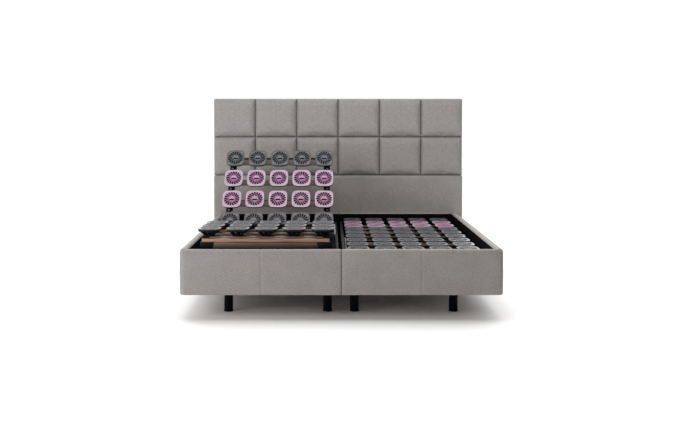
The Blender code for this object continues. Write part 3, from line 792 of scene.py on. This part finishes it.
def lower_pad_mesh(low, high):
    """A broad thin pad: rounded edges and a slight crown, closed at the back."""
    shape = bmesh.new()
    radius = 0.020
    rings = []
    rounds = 6
    insets = [(0.0, high.y), (0.0, low.y + radius)]
    for step in range(1, rounds + 1):
        angle = 0.5 * pi * step / rounds
        insets.append((radius * (1 - cos(angle)), low.y + radius * (1 - sin(angle))))
    for extra in (0.040, 0.075, 0.12, 0.17, 0.22, 0.255):
        crown = 0.0035 * min(1.0, (extra - radius) / 0.15)
        insets.append((extra, low.y - crown))
    for inset, y in insets:
        corner = max(0.010 - 0.3 * inset, 0.002)
        near, far = (low.x + inset, low.z + inset), (high.x - inset, high.z - inset)
        outline = rounded_rectangle(near, far, [corner] * 4, 3, (40, 10, 40, 10))
        ripple = 0.0008 if y < low.y + 0.001 else 0.0
        places = [(x, noise.noise(Vector((x * 6, 3.3, z * 8))), z) for x, z in outline]
        rings.append([Vector((x, y + ripple * wave, z)) for x, wave, z in places])
    skin(shape, rings)
    return tidy_mesh(shape, "lower_pad", 60.0)


def back_cover_mesh(low, high):
    """The covered back board: wrapped edges and a flat cloth panel with a folded border."""
    shape = bmesh.new()
    add_box(shape, low, high, 0.006, 3)
    border = 0.045
    middle = (low.z + high.z) / 2
    outline = rounded_rectangle(
        (low.x + border, low.z + border), (high.x - border, high.z - border), [0.012] * 4, 4
    )
    rings = []
    profile = ((0.0, -0.0010), (0.0, 0.0016), (0.002, 0.0022), (0.009, 0.0020), (0.012, 0.0012))
    for inset, rise in profile:
        shrink = 1 - inset / high.x
        rings.append([
            Vector((x * shrink, high.y + rise, z + (inset if z < middle else -inset)))
            for x, z in outline
        ])
    skin(shape, rings)
    return tidy_mesh(shape, "back_cover", 30.0)


def make_headboard():
    make_squares()
    for name, node, make_mesh in (
        ("headboard_lower_cover", "headboard_lower_pad", lower_pad_mesh),
        ("headboard_back_cover", "headboard_board", back_cover_mesh),
    ):
        cover = piece(name, make_mesh(*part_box(node)), "fabric", nodes=(node,))


# ---- a row of disc springs ---------------------------------------------------------------
def squircle(half, power, count):
    """A rounded square outline."""
    points = []
    for i in range(count):
        angle = 2 * pi * i / count
        c, s = cos(angle), sin(angle)
        scale = (abs(c) ** power + abs(s) ** power) ** (-1 / power)
        points.append((half[0] * scale * c, half[1] * scale * s))
    return points


def swirled_slot(angle, inner, outer, spread):
    """A radial slot that leans over as it runs outwards."""
    side = [
        (inner + (outer - inner) * reach, spread * width, SLOT_LEAN * reach)
        for reach, width in ((0.0, 0.55), (0.35, 0.85), (0.8, 1.0), (1.0, 0.6))
    ]
    points = [(r, angle + turn - half) for r, half, turn in side]
    points += [(r, angle + turn + half) for r, half, turn in reversed(side)]
    return [(r * cos(a), r * sin(a) * SLOT_STRETCH) for r, a in points]


def add_ridge(shape, angle, inner, outer):
    """A thin raised rib along one spoke, leaning with the slots beside it."""
    half, base, crest = 0.0015, -DISC_SUNK - 0.0003, RIDGE_CREST
    rings = []
    for reach in (0.0, 0.5, 1.0):
        radius, turn = inner + (outer - inner) * reach, angle + SLOT_LEAN * reach
        along = Vector((cos(turn), sin(turn) * SLOT_STRETCH, 0))
        across = Vector((-along.y, along.x, 0)).normalized() * half
        middle = along * radius
        rings.append([
            middle + across * share + Vector((0, 0, height))
            for share, height in ((-1, base), (1, base), (0.6, crest), (-0.6, crest))
        ])
    skin(shape, rings)


def disc_mesh():
    """One disc spring, its top at height 0: a slotted plate, a raised rim and a hub."""
    shape = bmesh.new()
    pitch = 2 * pi / SLOTS_IN_DISC
    holes = [
        swirled_slot(pitch * i, 0.0210, 0.0550, pitch * 0.42) for i in range(SLOTS_IN_DISC)
    ]
    holes.append(rounded_rectangle((-0.0180, -0.0165), (0.0180, -0.0005), [0.004] * 4, 2))
    outer = squircle((DISC_HALF[0] - 0.0072, DISC_HALF[1] - 0.0082), 3.4, 44)
    add_plate(shape, outer, holes, -DISC_SUNK - 0.0006, -DISC_SUNK, 0.0001)
    rim = squircle(DISC_HALF, 4.2, 44)
    window = squircle((DISC_HALF[0] - 0.0075, DISC_HALF[1] - 0.0085), 3.4, 44)
    add_plate(shape, rim, [window], -DISC_RIM, 0.0, 0.0011)
    for i in range(SLOTS_IN_DISC):
        add_ridge(shape, pitch * (i + 0.5), 0.0245, 0.0515)
    bar = rounded_rectangle((-0.0165, 0.0040), (0.0165, 0.0110), [0.003] * 4, 3)
    add_plate(shape, bar, [], -DISC_SUNK - 0.0005, RIDGE_CREST, 0.0006)
    return tidy_mesh(shape, "disc", 30.0)


def support_mesh():
    """The moulded carrier under a disc: a tray, four sloping arms and a foot on the slat."""
    shape = bmesh.new()
    tray_low = -DISC_THICKNESS - 0.0045
    tray = squircle((DISC_HALF[0] - 0.0030, DISC_HALF[1] - 0.0035), 4.2, 44)
    add_plate(shape, tray, [], tray_low, -DISC_THICKNESS + 0.0010)
    core = squircle((DISC_HALF[0] - 0.0095, DISC_HALF[1] - 0.0105), 3.4, 44)
    add_plate(shape, core, [], -DISC_THICKNESS, -DISC_SUNK - 0.0003, 0.0001)
    # painted shade: the tray's black wall rises round the lower part of each disc's side, so that side
    # shows black where it lies in shade
    wall = squircle((DISC_HALF[0] - 0.0055, DISC_HALF[1] - 0.0060), 4.2, 44)
    add_plate(shape, tray, [wall], -DISC_THICKNESS, -DISC_RIM - 0.0002)
    foot_top = SLAT_TOP + 0.012
    add_box(shape, (-0.0235, -0.0215, SLAT_TOP), (0.0235, 0.0215, foot_top), 0.002)
    add_box(shape, (-0.0260, -0.0245, SLAT_TOP), (0.0260, 0.0245, SLAT_TOP + 0.003), 0.001)
    arm = 0.0065
    square = ((-arm, -arm), (arm, -arm), (arm, arm), (-arm, arm))
    path = (
        (0.0170, 0.0155, SLAT_TOP + 0.003), (0.0300, 0.0280, -0.030), (0.0440, 0.0420, tray_low + 0.001)
    )
    for sx, sy in product((-1, 1), repeat=2):
        skin(shape, [[Vector((sx * x + a, sy * y + b, z)) for a, b in square] for x, y, z in path])
    add_turned(
        shape, [(0.011, SLAT_TOP + 0.010), (0.008, -0.028), (0.012, tray_low + 0.0005)],
        Matrix.Identity(4), 16,
    )
    return tidy_mesh(shape, "support", 30.0)


def across_row(single):
    """Five copies of a mesh along the slat, as one mesh."""
    shape = bmesh.new()
    for column in range(5):
        shift = Matrix.Translation((DISC_PITCH * (column - 2), 0, 0))
        single.transform(shift)
        shape.from_mesh(single)
        single.transform(shift.inverted())
    return tidy_mesh(shape, f"row_of_{single.name}", 30.0)


def slat_mesh():
    """A glued wooden slat with rounded long edges."""
    shape = bmesh.new()
    length, width, thickness = SLAT_SIZE
    low = (-length / 2 + 0.004, -width / 2, SLAT_TOP - 0.0003 - thickness)
    high = (length / 2 - 0.004, width / 2, SLAT_TOP - 0.0003)
    add_box(shape, low, high, 0.0028, 3)
    return tidy_mesh(shape, "slat", 40.0)


def holder_mesh():
    """Rubber holders over both slat ends, each with two grip ridges."""
    shape = bmesh.new()
    top, low = SLAT_TOP, SLAT_TOP - SLAT_SIZE[2]
    half, cheek = 0.0285, 0.003
    for side in (-1, 1):
        end = ((0.3525, 0.3615), (-half, half), (low - 0.0003, top + 0.0035))
        add_side_box(shape, side, *end, 0.002)
        for y in (-half, half - cheek):
            grip = ((0.322, 0.3545), (y, y + cheek), (low - 0.0003, top + 0.0015))
            add_side_box(shape, side, *grip, 0.001)
        for x in (0.330, 0.342):
            ridge = ((x, x + 0.005), (-0.027, 0.027), (top - 0.001, top + 0.0015))
            add_side_box(shape, side, *ridge, 0.0007)
    return tidy_mesh(shape, "holder", 30.0)


def section_matrices(prefix):
    """Each section's place at rest, measured from its hinge, from the frame's joints."""
    joints = {joint["name"]: joint for joint in frame["joints"]}
    back, thigh, knee = (joints[f"{prefix}_{name}_hinge"] for name in ("back", "thigh", "knee"))
    back_tilt = radians(-back["range_deg"][0])
    thigh_tilt = radians(-thigh["range_deg"][0])

    def placed(joint, tilt):
        return Matrix.Translation(joint["pos_m"]) @ Matrix.Rotation(tilt, 4, "X")

    seat = Vector((back["pos_m"][0], back["pos_m"][1] - FIRST_ROW, back["pos_m"][2]))
    return {
        "back": placed(back, back_tilt),
        "seat": Matrix.Translation(seat),
        "thigh": placed(thigh, -thigh_tilt),
        "calf": placed(knee, -thigh_tilt * (1 - KNEE_RATIO)),
    }


def row_places(prefix):
    """For each row: its number, the body that it rides on and its place."""
    matrices = section_matrices(prefix)
    for section, rows in SECTION_ROWS.items():
        body = "root" if section == "seat" else f"{prefix}_{section}_section"
        for index, row in enumerate(reversed(rows) if section == "back" else rows):
            direction = {"back": 1, "seat": 0}.get(section, -1)
            offset = Vector((0, direction * (FIRST_ROW + ROW_PITCH * index), ROW_LIFT))
            yield row, body, matrices[section] @ Matrix.Translation(offset)


def make_rows():
    disc = disc_mesh()
    grey, pink = across_row(disc), across_row(disc)
    supports = across_row(support_mesh())
    slat, holders = slat_mesh(), holder_mesh()
    for prefix in SIDES:
        for row, body, matrix in row_places(prefix):
            name = f"{prefix}_row_{row:02d}"
            node = (f"{prefix}_spring_row_{row:02d}",)
            colour = "pink" if row in PINK_ROWS else "grey"
            discs = pink if row in PINK_ROWS else grey
            piece(f"{name}_discs", discs, colour, body, node, matrix)
            piece(f"{name}_carriers", supports, "black", body, node, matrix)
            piece(f"{name}_slat", slat, "slat", body, node, matrix)
            piece(f"{name}_slat_caps", holders, "black", body, (), matrix)


# ---- frames, drive and trim --------------------------------------------------------------
def eased_node(name, material, width=0.0012, segments=2):
    """A CAD node shown with its own shape, eased along its edges."""
    obj = frame["nodes"][name]
    for slot in obj.material_slots:
        slot.material = MATERIALS[material]
    if not obj.material_slots:
        obj.data.materials.append(MATERIALS[material])
    obj.modifiers.new("weld", "WELD").merge_threshold = 0.00002
    bevel = obj.modifiers.new("eased_edges", "BEVEL")
    bevel.width = width
    bevel.segments = segments
    bevel.limit_method = "ANGLE"
    bevel.angle_limit = radians(38)
    obj.data.shade_smooth()
    obj.modifiers.new("normals", "WEIGHTED_NORMAL").keep_sharp = True


def make_frames():
    for prefix in SIDES:
        eased_node(f"{prefix}_bottom_frame", "plywood", 0.002)
        for part in ("base_frame", "back_frame", "thigh_frame", "calf_frame", "headboard_bracket"):
            eased_node(f"{prefix}_{part}", "steel")
        for part in ("drive_housing", "back_slider", "leg_slider"):
            eased_node(f"{prefix}_{part}", "black")
        eased_node(f"{prefix}_motor_unit", "black", 0.0015, 3)
        make_calf_bar(prefix)
        make_rail_plugs(prefix)
        make_edge_strips(prefix)
        make_motor_details(prefix)


def section_piece(prefix, section, name, mesh, material):
    """A piece that moves with one section, drawn from the section's hinge."""
    place = section_matrices(prefix)[section]
    body = f"{prefix}_{section}_section"
    piece(f"{prefix}_{section}_{name}", mesh, material, body, (), place)


def make_calf_bar(prefix):
    """The calf section's end: a wooden bar, a strip of beech painted darker as shade and a trim under
    it, end blocks.
    """
    bars = (  # name, material, reach to each side, span in Y, span in Z, rounding, segments
        ("wooden_bar", "wood", 0.3605, (-0.5698, -0.5402), (-0.0450, -0.0235), 0.004, 3),
        ("lower_strip", "shade_painted_wood", 0.2900, (-0.5735, -0.5690), (-0.0640, -0.0455), 0.0015, 2),
        ("end_trim", "trim", 0.2960, (-0.5740, -0.5692), (-0.0765, -0.0635), 0.0015, 2),
    )
    for name, material, reach, (front, back), (under, over), rounding, segments in bars:
        shape = bmesh.new()
        add_box(shape, (-reach, front, under), (reach, back, over), rounding, segments)
        section_piece(prefix, "calf", name, tidy_mesh(shape, name, 40.0), material)
    shape = bmesh.new()
    for side in (-1, 1):
        block = ((0.298, 0.369), (-0.5740, -0.5380), (-0.0770, -0.0455))
        add_side_box(shape, side, *block, 0.005, 3)
        plug = ((0.310, 0.357), (-0.5765, -0.5730), (-0.068, -0.054))
        add_side_box(shape, side, *plug, 0.0015)
    section_piece(prefix, "calf", "end_blocks", tidy_mesh(shape, "end_blocks", 35.0), "black")


def make_rail_plugs(prefix):
    """Small pale plugs in the section rails, between the rows of discs."""
    for section, direction in (("back", 1), ("thigh", -1), ("calf", -1)):
        shape = bmesh.new()
        for gap in range(len(SECTION_ROWS[section]) - 1):
            y = direction * (2 * FIRST_ROW + ROW_PITCH * gap) + 0.062
            for side in (-1, 1):
                plug = ((0.339, 0.351), (y - 0.007, y + 0.007), (-0.046, -0.0425))
                add_side_box(shape, side, *plug, 0.001)
        section_piece(prefix, section, "rail_plugs", tidy_mesh(shape, "rail_plugs", 30.0), "pale")


def make_edge_strips(prefix):
    """Strips on outrigger tabs along the inner edge of the thigh and calf sections. They are pale as a
    painted highlight on the rails' edge.
    """
    side = -SIDES[prefix]
    rail, strip_edge = 0.3600, 0.3885
    for section in ("thigh", "calf"):
        rows = len(SECTION_ROWS[section])
        shape = bmesh.new()
        strip = ((strip_edge, 0.3930), (0.030 - ROW_PITCH * rows, -0.045), (-0.004, 0.012))
        add_side_box(shape, side, *strip, 0.0015)
        for row in range(rows):
            y = -(FIRST_ROW + ROW_PITCH * row)
            tab = (y - 0.008, y + 0.008)
            add_side_box(shape, side, (rail, strip_edge + 0.0005), tab, (-0.0025, 0.0015), 0.001)
            add_side_box(shape, side, (rail, rail + 0.0035), tab, (-0.030, 0.0015), 0.001)
        # painted highlight: the pale plastic here stands for light caught by the rails' edge
        section_piece(prefix, section, "edge_strip", tidy_mesh(shape, "edge_strip", 35.0), "pale")


def make_motor_details(prefix):
    """Cooling ribs and four screws on the motor case."""
    low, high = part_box(f"{prefix}_motor_unit")
    shape = bmesh.new()
    ribs, end_gap, side_gap, half, rise = 9, 0.030, 0.014, 0.002, 0.002
    for i in range(ribs):
        y = low.y + end_gap + (high.y - low.y - 2 * end_gap) * i / (ribs - 1)
        foot = (low.x + side_gap, y - half, high.z - 0.001)
        add_box(shape, foot, (high.x - side_gap, y + half, high.z + rise), 0.0008)
    piece(f"{prefix}_motor_ribs", tidy_mesh(shape, "motor_ribs", 30.0), "black")
    shape = bmesh.new()
    places = [
        Vector((x, y, high.z - 0.0002))
        for x in (low.x + 0.010, high.x - 0.010)
        for y in (low.y + 0.012, high.y - 0.012)
    ]
    add_tacks(shape, places, (0, 0, 1), 0.0035)
    piece(f"{prefix}_motor_screws", tidy_mesh(shape, "motor_screws", 30.0), "zinc")


# ---- studio ------------------------------------------------------------------------------
def make_camera():
    data = bpy.data.cameras.new("camera")
    data.lens = 52.49
    data.sensor_width = 36.0
    data.shift_x = 0.0172
    data.shift_y = -0.100
    camera = new_object("camera", data)
    camera.location = (-0.0677, -6.582, 1.1444)
    downwards = radians(1.92)
    camera.rotation_euler = (pi / 2 - downwards, 0, 0)
    bpy.context.scene.camera = camera


def add_light(name, kind, place, target, energy, **settings):
    """A light at a place, facing a target. A sun's place only sets its direction."""
    data = bpy.data.lights.new(name, kind)
    data.energy = energy
    for setting, value in settings.items():
        setattr(data, setting, value)
    light = new_object(name, data)
    light.location = place
    towards = Vector(target) - Vector(place)
    light.rotation_euler = towards.to_track_quat("-Z", "Y").to_euler()


def make_world():
    """White to the eye, and a softer white as a light."""
    world = bpy.data.worlds.new("studio")
    world.use_nodes = True
    bpy.context.scene.world = world
    tree = world.node_tree
    background = tree.nodes["Background"]
    background.inputs["Color"].default_value = (1, 1, 1, 1)
    path = tree.nodes.new("ShaderNodeLightPath")
    level = tree.nodes.new("ShaderNodeMapRange")
    level.inputs["To Min"].default_value = 0.15
    level.inputs["To Max"].default_value = 1.05
    tree.links.new(path.outputs["Is Camera Ray"], level.inputs["Value"])
    tree.links.new(level.outputs["Result"], background.inputs["Strength"])


def make_floor():
    shape = bmesh.new()
    bmesh.ops.create_grid(shape, x_segments=1, y_segments=1, size=14)
    mesh = bpy.data.meshes.new("floor")
    shape.to_mesh(mesh)
    shape.free()
    mesh.materials.append(floor_paint())
    new_object("floor", mesh)


def make_studio():
    make_world()
    make_floor()
    make_camera()
    add_light("overhead", "SUN", (0, 0, 0), (-0.06, -1.20, -1.0), 4.4, angle=radians(80))
    panel = {"shape": "RECTANGLE", "size": 2.4, "size_y": 2.4}
    add_light("upper_left", "AREA", (-3.5, -3.4, 1.7), (0.0, 0.2, 0.5), 112, **panel)
    panel = {"shape": "RECTANGLE", "size": 2.6, "size_y": 1.2}
    add_light("head_fill", "AREA", (0.0, -0.85, 2.5), (0.05, 1.0, 0.55), 43, **panel)
    bpy.context.scene.view_settings.view_transform = "Standard"


make_studio()
for box_name in SIDES:
    make_box(box_name)
make_gap_seal()
make_legs()
make_headboard()
make_rows()
make_frames()
